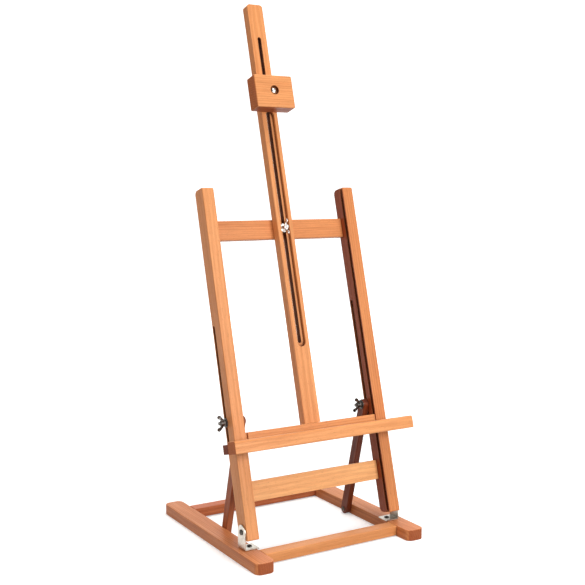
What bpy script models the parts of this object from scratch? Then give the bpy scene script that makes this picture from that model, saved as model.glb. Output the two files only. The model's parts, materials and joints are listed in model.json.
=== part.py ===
"""A tabletop easel: a flat base, a leaning frame of two posts, a sliding mast with a canvas shelf,
a clamp for the canvas's top edge, and two struts that hold the frame at its lean.

The origin is on the table under the middle of the base. +X is to the right and +Y is behind the easel.
Pieces of the leaning frame are placed by three distances: across from the middle, back from the
posts' front faces, and up along the posts from their lower ends.
"""

import math

import bmesh
import bpy
from mathutils import Matrix, Vector

# Fits
GAP = 0.0003
OVERSHOOT = 0.001
SIDES = {"left": -1, "right": 1}

# Base
BASE_LENGTH = 0.364
RUNNER_WIDTH = 0.035
RUNNER_HEIGHT = 0.0193
RUNNER_INNER_FACE = 0.1335
RUNNER_OUTER_FACE = RUNNER_INNER_FACE + RUNNER_WIDTH
RUNNER_END_RADIUS = 0.011
RAIL_DEPTH = 0.024
RAIL_LOWER_FACE = 0.0018
FRONT_RAIL_MIDDLE = -0.136
REAR_RAIL_MIDDLE = 0.1313

# Leaning frame
POST_LENGTH = 0.600
POST_DEPTH = 0.0307
POST_WIDTH = 0.022
POST_CORNER_RADII = (0.002, 0.009, 0.008, 0.004)
POST_INNER_FACE = RUNNER_INNER_FACE
POST_OUTER_FACE = POST_INNER_FACE + POST_WIDTH
LEAN = math.radians(15.4)
HINGE_UP = 0.0151
HINGE_BACK = 0.0153
HINGE_Y = -0.10865
HINGE_Z = 0.0486
HINGE = Vector((0.0, HINGE_BACK, HINGE_UP))
POST_SLOT_FRONT = 0.0205
POST_SLOT_WIDTH = 0.007
POST_SLOT_BOTTOM = 0.155
POST_SLOT_TOP = {"left": 0.362, "right": 0.390}
POST_GROOVE_FRONT = 0.0025
POST_GROOVE_BACK = 0.009
POST_GROOVE_DEPTH = 0.008
CROSSBAR_FRONT = 0.0191
CROSSBAR_BACK = 0.0306
CROSSBARS = {"lower": (0.060, 0.094), "upper": (0.5095, 0.5445)}

# Mast and its clamp
MAST_WIDTH = 0.032
MAST_FRONT = 0.0008
MAST_BACK = 0.0188
MAST_BOTTOM = 0.1766
MAST_TOP = 0.9464
MAST_TOP_RADIUS = 0.006
MAST_TAIL_FRONT = 0.0090
MAST_TAIL_BOTTOM = 0.1466
MAST_SLOT_WIDTH = 0.007
MAST_SLOT_BOTTOM = 0.318
MAST_SLOT_TOP = 0.883
CHANNEL_WIDTH = 0.0175
CHANNEL_FLOOR = 0.0073
CHANNEL_BOTTOM = 0.311
CHANNEL_TOP = 0.742
MAST_CLAMP_UP = 0.5268

# Canvas shelf
SHELF_BOTTOM = 0.1440
SHELF_HALF_LENGTH = 0.1798
LIP_FRONT = -0.0466
LIP_BACK = -0.0193
LIP_TOP = 0.1652
LIP_FOOT_RADIUS = 0.0015
LIP_BROW_RADIUS = 0.004
LEDGE_BOTTOM = 0.1450
LEDGE_FRONT = LIP_BACK + GAP
LEDGE_BACK = -0.0008
LEDGE_TOP = 0.1610
BACKBOARD_FRONT = -0.0005
BACKBOARD_BACK = 0.0087
BACKBOARD_HALF_LENGTH = 0.1300
TONGUE_HALF_LENGTH = POST_INNER_FACE + POST_GROOVE_DEPTH - GAP
TONGUE_FRONT = POST_GROOVE_FRONT + GAP
SHELF_SCREW_UP = 0.153
LAP_SCREW_ACROSS = 0.009
OUTER_SCREW_ACROSS = 0.090

# Top canvas clamp
BLOCK_HALF_WIDTH = 0.039
BLOCK_BOTTOM = 0.7395
BLOCK_TOP = 0.8000
BLOCK_FRONT = -0.0281
BLOCK_BACK = MAST_FRONT - GAP
BLOCK_CORNER_RADIUS = 0.003
BLOCK_BOLT_UP = 0.772
COUNTERBORE_DIAMETER = 0.017
COUNTERBORE_FLOOR = -0.0226

# Struts
STRUT_WIDTH = 0.018
STRUT_THICKNESS = 0.011
STRUT_LENGTH = 0.21941
STRUT_ANGLE = math.radians(30.18)
STRUT_OUTER_FACE = POST_INNER_FACE - GAP
STRUT_INNER_FACE = STRUT_OUTER_FACE - STRUT_THICKNESS
STRUT_BOLT_BACK = 0.024
STRUT_BOLT_UP = 0.197

# Hinge brackets
BRACKET_WIDTH = 0.025
BRACKET_THICKNESS = 0.002
BRACKET_INNER_END = 0.131
BRACKET_INNER_FACE = POST_OUTER_FACE + GAP
BRACKET_OUTER_FACE = BRACKET_INNER_FACE + BRACKET_THICKNESS
BRACKET_BEND_RADIUS = 0.0028
BRACKET_SCREW_ACROSS = 0.1415
BRACKET_SCREW_Y = -0.1065

# Dowels
BASE_DOWEL_DIAMETER = 0.006
BASE_DOWEL_LENGTH = 0.030
BASE_DOWEL_SPREAD = 0.006
BASE_DOWEL_Z = 0.0105
CROSSBAR_DOWEL_DIAMETER = 0.005
CROSSBAR_DOWEL_LENGTH = 0.024
CROSSBAR_DOWEL_SPREAD = 0.009

# M6 clamping hardware
BOLT_DIAMETER = 0.006
BOLT_HOLE = BOLT_DIAMETER + 2 * GAP
DOME_HEAD_DIAMETER = 0.014
DOME_HEAD_HEIGHT = 0.0033
WASHER_DIAMETER = 0.016
WASHER_THICKNESS = 0.0016
NUT_HEIGHT = 0.0085
NUT_BASE_RADIUS = 0.0058
NUT_TOP_RADIUS = 0.0047
WING_REACH = 0.0138
WING_THICKNESS = 0.0026
WING_TIP_RADIUS = 0.0032
WING_TIP_HEIGHT = 0.0108
WING_EDGE = 0.0007
NUT_EDGE = 0.0006
THREAD_BEYOND_NUT = 0.0030
BLOCK_BOLT_HEAD_DIAMETER = 0.0105
BLOCK_BOLT_HEAD_HEIGHT = 0.0042

# Screws
HINGE_SCREW_LENGTH = 0.020
HINGE_SCREW_SHANK = 0.0045
HINGE_SCREW_HEAD = 0.0095
HINGE_SCREW_HEAD_HEIGHT = 0.0024
BRACKET_SCREW_LENGTH = 0.014
BRACKET_SCREW_SHANK = 0.004
BRACKET_SCREW_HEAD = 0.0085
BRACKET_SCREW_HEAD_HEIGHT = 0.0022
FOOT_SCREW_SHANK = 0.0045
FOOT_SCREW_HEAD = 0.009
FOOT_SCREW_HEAD_HEIGHT = 0.0022
SHELF_SCREW_SHANK = 0.004
SHELF_SCREW_HEAD = 0.0078
LAP_SCREW_LENGTH = 0.032
OUTER_SCREW_LENGTH = 0.022
FLAT_HEAD_RIM = 0.0004
HOLE_RUNOUT = 0.001

# Finish
WOOD_EDGE = 0.0010
METAL_EDGE = 0.0004
BLOCK_EDGE = 0.0025
ARC_STEP = math.radians(11.25)
SMALL_ARC_STEP = math.radians(18)
DOWEL_SIDES = 12
SCREW_SIDES = 16
BOLT_SIDES = 20
COUNTERBORE_SIDES = 28
WOOD_ROUGHNESS = 0.45
STEEL_ROUGHNESS = 0.28
LIGHT_WOOD = (0.58, 0.27, 0.12)
MID_WOOD = (0.50, 0.22, 0.09)
DARK_WOOD = (0.36, 0.14, 0.06)
DOWEL_WOOD = (0.66, 0.46, 0.27)
BRIGHT_STEEL = (0.72, 0.70, 0.67)

AXIS_ORDER = {"X": (1, 2, 0), "Y": (0, 2, 1), "Z": (0, 1, 2)}
ACROSS = Vector((1, 0, 0))
BACK = Vector((0, 1, 0))
UP_POST = Vector((0, 0, 1))
PLUMB = Vector((0, -math.sin(LEAN), math.cos(LEAN)))


def clear_scene():
    for leftover in list(bpy.data.objects):
        bpy.data.objects.remove(leftover, do_unlink=True)


# Outlines


def arc(centre, radius, start, end, step_angle=ARC_STEP):
    """Points along an arc, both ends included, with angles in radians."""
    steps = max(1, round(abs(end - start) / step_angle))
    angles = [start + (end - start) * step / steps for step in range(steps + 1)]
    return [(centre[0] + radius * math.cos(a), centre[1] + radius * math.sin(a)) for a in angles]


def rectangle(low, high, radii=(0.0, 0.0, 0.0, 0.0)):
    """A rectangle's outline. The corner radii run low-low, high-low, high-high, low-high."""
    corners = [(low[0], low[1]), (high[0], low[1]), (high[0], high[1]), (low[0], high[1])]
    inward = [(1, 1), (-1, 1), (-1, -1), (1, -1)]
    outline = []
    for quarter, (corner, way, radius) in enumerate(zip(corners, inward, radii)):
        if radius == 0.0:
            outline.append(corner)
            continue
        centre = (corner[0] + way[0] * radius, corner[1] + way[1] * radius)
        start = math.pi * (1 + quarter / 2)
        outline += arc(centre, radius, start, start + math.pi / 2)
    return outline


def regular(radius, sides):
    """The outline of a regular polygon that stands in for a circle."""
    step = math.tau / sides
    return [(radius * math.cos(n * step), radius * math.sin(n * step)) for n in range(sides)]


def round_ended(half_width, low, high):
    """The outline of a bar or slot with half-round ends. Its long way is the second coordinate."""
    lower = arc((0.0, low + half_width), half_width, -math.pi, 0.0)
    upper = arc((0.0, high - half_width), half_width, 0.0, math.pi)
    return lower + upper


# Solids


def add_object(name, mesh):
    data = bpy.data.meshes.new(name)
    mesh.to_mesh(data)
    mesh.free()
    piece = bpy.data.objects.new(name, data)
    bpy.context.scene.collection.objects.link(piece)
    return piece


def prism(name, outline, axis, start, end):
    """A solid with one outline all along an axis."""
    first, second, along = AXIS_ORDER[axis]
    mesh = bmesh.new()
    ring = []
    for a, b in outline:
        corner = Vector((0.0, 0.0, 0.0))
        corner[first] = a
        corner[second] = b
        corner[along] = start
        ring.append(mesh.verts.new(corner))
    face = mesh.faces.new(ring)
    extruded = bmesh.ops.extrude_face_region(mesh, geom=[face])
    shift = Vector((0.0, 0.0, 0.0))
    shift[along] = end - start
    far_ring = [item for item in extruded["geom"] if isinstance(item, bmesh.types.BMVert)]
    bmesh.ops.translate(mesh, verts=far_ring, vec=shift)
    bmesh.ops.recalc_face_normals(mesh, faces=mesh.faces)
    return add_object(name, mesh)


def turned(name, profile, sides=BOLT_SIDES, closed=False):
    """A round solid about its own Z axis, from a profile of (radius, height) points."""
    mesh = bmesh.new()
    points = [mesh.verts.new((radius, 0.0, height)) for radius, height in profile]
    edges = [mesh.edges.new(pair) for pair in zip(points, points[1:])]
    if closed:
        edges.append(mesh.edges.new((points[-1], points[0])))
    bmesh.ops.spin(
        mesh,
        geom=points + edges,
        cent=(0, 0, 0),
        axis=(0, 0, 1),
        angle=math.tau,
        steps=sides,
        use_merge=True,
    )
    bmesh.ops.remove_doubles(mesh, verts=mesh.verts, dist=1e-6)
    bmesh.ops.recalc_face_normals(mesh, faces=mesh.faces)
    return add_object(name, mesh)


def soften(piece, width, segments=2):
    """Rounds over a piece's sharp edges."""
    bevel = piece.modifiers.new("edges", "BEVEL")
    bevel.width = width
    bevel.segments = segments
    bevel.limit_method = "ANGLE"
    bevel.angle_limit = math.radians(50)


def combine(piece, other, operation):
    boolean = piece.modifiers.new(other.name, "BOOLEAN")
    boolean.operation = operation
    boolean.solver = "EXACT"
    boolean.object = other
    other.hide_render = True
    other.display_type = "WIRE"


def cut(pieces, cutter):
    """Takes a cutter's shape out of each piece."""
    for piece in pieces:
        combine(piece, cutter, "DIFFERENCE")


def smooth(piece):
    piece.data.shade_smooth()
    piece.data.set_sharp_from_angle(angle=math.radians(35))


def finish(piece, colour, roughness, metallic):
    made = bpy.data.materials.new(piece.name)
    made.use_nodes = True
    shader = made.node_tree.nodes["Principled BSDF"]
    shader.inputs["Base Color"].default_value = (*colour, 1.0)
    shader.inputs["Roughness"].default_value = roughness
    shader.inputs["Metallic"].default_value = metallic
    piece.data.materials.append(made)
    smooth(piece)


def finish_wood(piece, colour):
    finish(piece, colour, WOOD_ROUGHNESS, metallic=0.0)


def finish_steel(piece):
    finish(piece, BRIGHT_STEEL, STEEL_ROUGHNESS, metallic=1.0)


# Placing


def on_frame(piece, point):
    """Puts a piece's origin at a point given across, back and up the leaning posts."""
    piece.parent = lean_axis
    piece.location = Vector(point) - HINGE


def rides_on_frame(*pieces):
    """Places pieces that are drawn straight in the leaning frame's own distances."""
    for piece in pieces:
        piece.data.transform(Matrix.Translation(-HINGE))
        piece.parent = lean_axis


def aim(piece, along, across=UP_POST):
    """Points a turned piece's own Z along one direction, with its own X as near another as it goes."""
    z = along.normalized()
    x = (across - across.project(z)).normalized()
    piece.rotation_euler = Matrix((x, z.cross(x), z)).transposed().to_euler()


def hole(name, diameter, length, sides=BOLT_SIDES):
    """A round cutter from its origin along +Z, which also runs back a little past the origin."""
    return prism(name, regular(diameter / 2, sides), "Z", -OVERSHOOT, length)


# Wooden dowels


def dowel(name, diameter, length):
    """A dowel along its own Z with chamfered ends, its origin at its middle."""
    radius = diameter / 2
    chamfer = radius / 4
    end = length / 2
    profile = [(0.0, -end), (radius - chamfer, -end), (radius, chamfer - end)]
    profile += [(radius, end - chamfer), (radius - chamfer, end), (0.0, end)]
    piece = turned(name, profile, sides=DOWEL_SIDES)
    finish_wood(piece, DOWEL_WOOD)
    return piece


def dowel_hole(name, diameter, length):
    reach = length / 2 + HOLE_RUNOUT
    return prism(name, regular(diameter / 2 + GAP, DOWEL_SIDES), "Z", -reach, reach)


# Screws, bolts, washers and nuts


def cross_recess(screw, face, size):
    """Cuts a cross for a driver into a screw's head."""
    arm = size / 2
    web = size / 8
    outline = [(arm, -web), (arm, web), (web, web), (web, arm), (-web, arm), (-web, web)]
    outline += [(-a, -b) for a, b in outline]
    cutter = prism(f"{screw.name}_recess", outline, "Z", face - size / 4, face + OVERSHOOT)
    cutter.parent = screw
    cut([screw], cutter)


def flat_screw(name, length, shank, head):
    """A countersunk screw: its head is flush with the origin, and it runs along its own -Z."""
    neck = -FLAT_HEAD_RIM - (head - shank) / 2
    profile = [(0.0, 0.0), (head / 2, 0.0), (head / 2, -FLAT_HEAD_RIM), (shank / 2, neck)]
    profile += [(shank / 2, shank - length), (0.0, -length)]
    piece = turned(name, profile[::-1], sides=SCREW_SIDES)
    finish_steel(piece)
    return piece


def flat_screw_hole(name, length, shank, head):
    """The cutter for a countersunk screw, a gap larger all round."""
    neck = -FLAT_HEAD_RIM - (head - shank) / 2
    wide = head / 2 + GAP
    bore = shank / 2 + GAP
    profile = [(0.0, OVERSHOOT), (wide, OVERSHOOT), (wide, -FLAT_HEAD_RIM), (bore, neck)]
    profile += [(bore, -length - HOLE_RUNOUT), (0.0, -length - HOLE_RUNOUT)]
    return turned(name, profile[::-1], sides=SCREW_SIDES)


def pan_screw(name, length, shank, head, height):
    """A round-headed screw: its head stands above the origin, and its shank runs along its own -Z."""
    crown = [(head / 2, 0.0), (head / 2, height * 0.45), (head * 0.4, height * 0.85), (head * 0.2, height)]
    profile = [(0.0, -length), (shank / 2, shank - length), (shank / 2, 0.0)] + crown + [(0.0, height)]
    piece = turned(name, profile, sides=SCREW_SIDES)
    cross_recess(piece, height, head * 0.5)
    finish_steel(piece)
    return piece


def dome_bolt(name, length):
    """A bolt with a domed head above the origin and a plain shank along its own -Z."""
    head = DOME_HEAD_DIAMETER / 2
    shank = BOLT_DIAMETER / 2
    tip = shank / 4
    dome_radius = (head**2 + DOME_HEAD_HEIGHT**2) / (2 * DOME_HEAD_HEIGHT)
    rim_angle = math.acos(head / dome_radius)
    dome = arc((0.0, DOME_HEAD_HEIGHT - dome_radius), dome_radius, rim_angle, math.pi / 2, SMALL_ARC_STEP)
    dome[-1] = (0.0, DOME_HEAD_HEIGHT)
    profile = [(0.0, -length), (shank - tip, -length), (shank, tip - length), (shank, 0.0)] + dome
    piece = turned(name, profile)
    finish_steel(piece)
    return piece


def washer(name):
    """A washer about its own Z, resting on its origin."""
    inner = BOLT_HOLE / 2
    outer = WASHER_DIAMETER / 2
    edge = METAL_EDGE
    profile = [(inner, 0.0), (outer - edge, 0.0), (outer, edge)]
    profile += [(outer, WASHER_THICKNESS - edge), (outer - edge, WASHER_THICKNESS)]
    profile += [(inner, WASHER_THICKNESS)]
    piece = turned(name, profile, closed=True)
    finish_steel(piece)
    return piece


def wing_nut(name):
    """A wing nut about its own Z, resting on its origin, with its two wings along its own X."""
    edge = NUT_EDGE
    profile = [(0.0, 0.0), (NUT_BASE_RADIUS - edge, 0.0), (NUT_BASE_RADIUS, edge)]
    profile += [(NUT_TOP_RADIUS, NUT_HEIGHT - edge), (NUT_TOP_RADIUS - edge, NUT_HEIGHT)]
    profile += [(0.0, NUT_HEIGHT)]
    hub = turned(name, profile, sides=SCREW_SIDES)

    root = NUT_TOP_RADIUS * 0.7
    tip_middle = (WING_REACH - WING_TIP_RADIUS, WING_TIP_HEIGHT)
    underside = [(root, NUT_HEIGHT * 0.22), (NUT_BASE_RADIUS * 1.28, NUT_HEIGHT * 0.5)]
    tip = arc(tip_middle, WING_TIP_RADIUS, -math.pi / 3, math.pi * 0.85, SMALL_ARC_STEP)
    topside = [(NUT_TOP_RADIUS * 1.26, NUT_HEIGHT * 0.95), (root, NUT_HEIGHT * 0.9)]
    half = underside + tip + topside
    for side, hand in ((1, "a"), (-1, "b")):
        outline = [(side * across, up) for across, up in half]
        wing = prism(f"{name}_wing_{hand}", outline, "Y", -WING_THICKNESS / 2, WING_THICKNESS / 2)
        soften(wing, WING_EDGE, segments=1)
        wing.parent = hub
        combine(hub, wing, "UNION")

    bore = hole(f"{name}_bore", BOLT_HOLE, NUT_HEIGHT + OVERSHOOT, SCREW_SIDES)
    bore.parent = hub
    cut([hub], bore)
    finish_steel(hub)
    return hub


# Base


def base_runner(hand):
    """A side bar of the base, with ends rounded in plan."""
    side = SIDES[hand]
    near, far = sorted((side * RUNNER_INNER_FACE, side * RUNNER_OUTER_FACE))
    end = BASE_LENGTH / 2
    outline = rectangle((near, -end), (far, end), [RUNNER_END_RADIUS] * 4)
    piece = prism(f"base_runner_{hand}", outline, "Z", 0.0, RUNNER_HEIGHT)
    soften(piece, WOOD_EDGE)
    finish_wood(piece, MID_WOOD)
    return piece


def base_rail(place, middle):
    """A cross rail of the base, flush with the runners' tops and clear of the table."""
    end = RUNNER_INNER_FACE - GAP
    half = RAIL_DEPTH / 2
    outline = rectangle((middle - half, RAIL_LOWER_FACE), (middle + half, RUNNER_HEIGHT))
    piece = prism(f"base_rail_{place}", outline, "X", -end, end)
    soften(piece, WOOD_EDGE)
    finish_wood(piece, MID_WOOD)
    return piece


def base_dowels(place, middle, rail, runners):
    """Two dowels at each end of a rail, half in the rail and half in the runner."""
    for hand, side in SIDES.items():
        for number, offset in enumerate((-BASE_DOWEL_SPREAD, BASE_DOWEL_SPREAD), 1):
            point = Vector((side * RUNNER_INNER_FACE, middle + offset, BASE_DOWEL_Z))
            name = f"base_dowel_{place}_{hand}_{number}"
            piece = dowel(name, BASE_DOWEL_DIAMETER, BASE_DOWEL_LENGTH)
            cutter = dowel_hole(f"{name}_hole", BASE_DOWEL_DIAMETER, BASE_DOWEL_LENGTH)
            for placed in (piece, cutter):
                placed.location = point
                aim(placed, ACROSS)
            cut([rail, runners[hand]], cutter)


def hinge_bracket(hand):
    """A bent steel plate: one leg lies on the runner, and the round-topped leg stands beside the post."""
    side = SIDES[hand]
    foot = RUNNER_HEIGHT + GAP
    top = HINGE_Z + BRACKET_WIDTH / 2
    outer_radius = BRACKET_BEND_RADIUS
    inner_radius = BRACKET_BEND_RADIUS - BRACKET_THICKNESS
    bend = (BRACKET_OUTER_FACE - outer_radius, foot + outer_radius)
    outline = [(BRACKET_INNER_END, foot)]
    outline += arc(bend, outer_radius, -math.pi / 2, 0.0)
    outline += [(BRACKET_OUTER_FACE, top), (BRACKET_INNER_FACE, top)]
    outline += arc(bend, inner_radius, 0.0, -math.pi / 2)
    outline += [(BRACKET_INNER_END, foot + BRACKET_THICKNESS)]
    outline = [(side * x, z) for x, z in outline]
    front = HINGE_Y - BRACKET_WIDTH / 2
    back = HINGE_Y + BRACKET_WIDTH / 2
    piece = prism(f"hinge_bracket_{hand}", outline, "Y", front, back)

    # The round top is what the bent plate shares with a round-topped block a hair wider than it.
    half = BRACKET_WIDTH / 2 + GAP / 10
    round_top = arc((HINGE_Y, HINGE_Z), half, 0.0, math.pi)
    block_outline = [(HINGE_Y - half, 0.0), (HINGE_Y + half, 0.0)] + round_top
    reach = BRACKET_OUTER_FACE + OVERSHOOT
    block = prism(f"hinge_bracket_{hand}_round", block_outline, "X", -reach, reach)
    combine(piece, block, "INTERSECT")
    soften(piece, METAL_EDGE, segments=1)
    finish_steel(piece)
    return piece


def hinge_screw(hand, bracket, post):
    """The pivot of the leaning frame: a screw through the bracket's upright leg into the post."""
    side = SIDES[hand]
    name = f"hinge_screw_{hand}"
    length = HINGE_SCREW_LENGTH
    screw = pan_screw(name, length, HINGE_SCREW_SHANK, HINGE_SCREW_HEAD, HINGE_SCREW_HEAD_HEIGHT)
    cutter = hole(f"{name}_hole", HINGE_SCREW_SHANK + 2 * GAP, length + HOLE_RUNOUT, SCREW_SIDES)
    for piece in (screw, cutter):
        on_frame(piece, (side * (BRACKET_OUTER_FACE + GAP), HINGE_BACK, HINGE_UP))
    aim(screw, side * ACROSS)
    aim(cutter, -side * ACROSS)
    cut([bracket, post], cutter)


def bracket_screw(hand, bracket, runner):
    """The screw that holds a bracket's flat leg down on its runner."""
    name = f"bracket_screw_{hand}"
    length = BRACKET_SCREW_LENGTH
    screw = pan_screw(name, length, BRACKET_SCREW_SHANK, BRACKET_SCREW_HEAD, BRACKET_SCREW_HEAD_HEIGHT)
    cutter = hole(f"{name}_hole", BRACKET_SCREW_SHANK + 2 * GAP, length + HOLE_RUNOUT, SCREW_SIDES)
    seat = RUNNER_HEIGHT + GAP + BRACKET_THICKNESS + GAP
    for piece in (screw, cutter):
        piece.location = (SIDES[hand] * BRACKET_SCREW_ACROSS, BRACKET_SCREW_Y, seat)
    aim(cutter, -UP_POST, ACROSS)
    cut([bracket, runner], cutter)


# Leaning frame


def post(hand):
    """An upright, with a groove down its inner face and a long slot for the strut's bolt near its back."""
    side = SIDES[hand]
    outline = rectangle((0.0, 0.0), (POST_DEPTH, POST_LENGTH), POST_CORNER_RADII)
    inner = side * POST_INNER_FACE
    outer = side * POST_OUTER_FACE
    piece = prism(f"upright_{hand}", outline, "X", min(inner, outer), max(inner, outer))
    soften(piece, WOOD_EDGE)

    across = sorted((side * (POST_INNER_FACE - OVERSHOOT), side * (POST_INNER_FACE + POST_GROOVE_DEPTH)))
    groove_outline = rectangle((across[0], POST_GROOVE_FRONT), (across[1], POST_GROOVE_BACK))
    groove = prism(f"upright_{hand}_groove", groove_outline, "Z", -OVERSHOOT, POST_LENGTH + OVERSHOOT)
    slot_outline = round_ended(POST_SLOT_WIDTH / 2, POST_SLOT_BOTTOM, POST_SLOT_TOP[hand])
    slot_outline = [(back + POST_SLOT_FRONT + POST_SLOT_WIDTH / 2, up) for back, up in slot_outline]
    faces = sorted((side * (POST_INNER_FACE - OVERSHOOT), side * (POST_OUTER_FACE + OVERSHOOT)))
    slot = prism(f"upright_{hand}_slot", slot_outline, "X", *faces)
    rides_on_frame(piece, groove, slot)
    cut([piece], groove)
    cut([piece], slot)
    finish_wood(piece, MID_WOOD)
    return piece


def crossbar(place):
    """A flat bar between the posts, near their back faces."""
    low, high = CROSSBARS[place]
    end = POST_INNER_FACE - GAP
    outline = rectangle((CROSSBAR_FRONT, low), (CROSSBAR_BACK, high))
    piece = prism(f"crossbar_{place}", outline, "X", -end, end)
    soften(piece, WOOD_EDGE)
    rides_on_frame(piece)
    finish_wood(piece, LIGHT_WOOD)
    return piece


def crossbar_dowels(place, bar, posts):
    """Two dowels at each end of a crossbar, half in the bar and half in the post."""
    low, high = CROSSBARS[place]
    middle = (low + high) / 2
    back = (CROSSBAR_FRONT + CROSSBAR_BACK) / 2
    for hand, side in SIDES.items():
        for number, offset in enumerate((-CROSSBAR_DOWEL_SPREAD, CROSSBAR_DOWEL_SPREAD), 1):
            name = f"crossbar_dowel_{place}_{hand}_{number}"
            piece = dowel(name, CROSSBAR_DOWEL_DIAMETER, CROSSBAR_DOWEL_LENGTH)
            cutter = dowel_hole(f"{name}_hole", CROSSBAR_DOWEL_DIAMETER, CROSSBAR_DOWEL_LENGTH)
            for placed in (piece, cutter):
                on_frame(placed, (side * POST_INNER_FACE, back, middle + offset))
                aim(placed, ACROSS)
            cut([bar, posts[hand]], cutter)


def mast_clamp(bar):
    """The bolt, washer and wing nut that clamp the mast to the upper crossbar."""
    head_face = CROSSBAR_BACK + GAP
    washer_face = CHANNEL_FLOOR - GAP
    nut_face = washer_face - WASHER_THICKNESS - GAP
    length = head_face - nut_face + NUT_HEIGHT + THREAD_BEYOND_NUT
    bolt = dome_bolt("mast_clamp_bolt", length)
    on_frame(bolt, (0.0, head_face, MAST_CLAMP_UP))
    aim(bolt, BACK)
    bore = hole("mast_clamp_hole", BOLT_HOLE, head_face - CROSSBAR_FRONT + OVERSHOOT)
    on_frame(bore, (0.0, head_face, MAST_CLAMP_UP))
    aim(bore, -BACK)
    cut([bar], bore)
    ring = washer("mast_clamp_washer")
    on_frame(ring, (0.0, washer_face, MAST_CLAMP_UP))
    aim(ring, -BACK)
    nut = wing_nut("mast_clamp_wing_nut")
    on_frame(nut, (0.0, nut_face, MAST_CLAMP_UP))
    aim(nut, -BACK, UP_POST)


# Mast and shelf


def mast():
    """The sliding mast: a slot right through, widened in front to a channel for the clamp's nut."""
    half = MAST_WIDTH / 2
    corner_radii = (0.0, 0.0, MAST_TOP_RADIUS, MAST_TOP_RADIUS)
    outline = rectangle((-half, MAST_TAIL_BOTTOM), (half, MAST_TOP), corner_radii)
    piece = prism("mast", outline, "Y", MAST_FRONT, MAST_BACK)
    soften(piece, WOOD_EDGE)

    lap_outline = rectangle(
        (-half - OVERSHOOT, MAST_TAIL_BOTTOM - OVERSHOOT),
        (half + OVERSHOOT, MAST_BOTTOM),
    )
    lap = prism("mast_lap", lap_outline, "Y", MAST_FRONT - OVERSHOOT, MAST_TAIL_FRONT)
    slot_outline = round_ended(MAST_SLOT_WIDTH / 2, MAST_SLOT_BOTTOM, MAST_SLOT_TOP)
    slot = prism("mast_slot", slot_outline, "Y", MAST_FRONT - OVERSHOOT, MAST_BACK + OVERSHOOT)
    channel_outline = round_ended(CHANNEL_WIDTH / 2, CHANNEL_BOTTOM, CHANNEL_TOP)
    channel = prism("mast_channel", channel_outline, "Y", MAST_FRONT - OVERSHOOT, CHANNEL_FLOOR)
    rides_on_frame(piece, lap, slot, channel)
    for cutter in (lap, slot, channel):
        cut([piece], cutter)
    finish_wood(piece, LIGHT_WOOD)
    return piece


def shelf_lip():
    """The shelf's front bar, which stands a little above the ledge to hold the canvas in."""
    corner_radii = (LIP_FOOT_RADIUS, 0.0, 0.0, LIP_BROW_RADIUS)
    outline = rectangle((LIP_FRONT, SHELF_BOTTOM), (LIP_BACK, LIP_TOP), corner_radii)
    piece = prism("shelf_front_bar", outline, "X", -SHELF_HALF_LENGTH, SHELF_HALF_LENGTH)
    soften(piece, WOOD_EDGE)
    rides_on_frame(piece)
    finish_wood(piece, LIGHT_WOOD)
    return piece


def shelf_ledge():
    """The bar the canvas stands on."""
    outline = rectangle((LEDGE_FRONT, LEDGE_BOTTOM), (LEDGE_BACK, LEDGE_TOP))
    piece = prism("shelf_ledge", outline, "X", -SHELF_HALF_LENGTH, SHELF_HALF_LENGTH)
    soften(piece, WOOD_EDGE)
    rides_on_frame(piece)
    finish_wood(piece, DARK_WOOD)
    return piece


def shelf_back_board():
    """The board between the posts, with a tongue at each end that runs in a post's groove."""
    body = BACKBOARD_HALF_LENGTH
    tongue = TONGUE_HALF_LENGTH
    outline = [(-body, BACKBOARD_FRONT), (body, BACKBOARD_FRONT)]
    outline += [(body, TONGUE_FRONT), (tongue, TONGUE_FRONT)]
    outline += [(tongue, BACKBOARD_BACK), (-tongue, BACKBOARD_BACK)]
    outline += [(-tongue, TONGUE_FRONT), (-body, TONGUE_FRONT)]
    piece = prism("shelf_back_board", outline, "Z", SHELF_BOTTOM, MAST_BOTTOM - GAP)
    soften(piece, WOOD_EDGE / 2, segments=1)
    rides_on_frame(piece)
    finish_wood(piece, MID_WOOD)
    return piece


def shelf_screws(tail, board, ledge):
    """Two screws through the mast's tail, and two farther out, all driven from behind into the ledge."""
    for hand, side in SIDES.items():
        lap_point = (side * LAP_SCREW_ACROSS, MAST_BACK, SHELF_SCREW_UP)
        outer_point = (side * OUTER_SCREW_ACROSS, BACKBOARD_BACK, SHELF_SCREW_UP)
        plans = (
            (f"shelf_lap_screw_{hand}", lap_point, LAP_SCREW_LENGTH, [tail, board, ledge]),
            (f"shelf_outer_screw_{hand}", outer_point, OUTER_SCREW_LENGTH, [board, ledge]),
        )
        for name, point, length, pieces in plans:
            screw = flat_screw(name, length, SHELF_SCREW_SHANK, SHELF_SCREW_HEAD)
            cutter = flat_screw_hole(f"{name}_hole", length, SHELF_SCREW_SHANK, SHELF_SCREW_HEAD)
            on_frame(cutter, point)
            aim(cutter, BACK)
            on_frame(screw, Vector(point) - GAP * BACK)
            aim(screw, BACK)
            cut(pieces, cutter)


# Top canvas clamp


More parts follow.
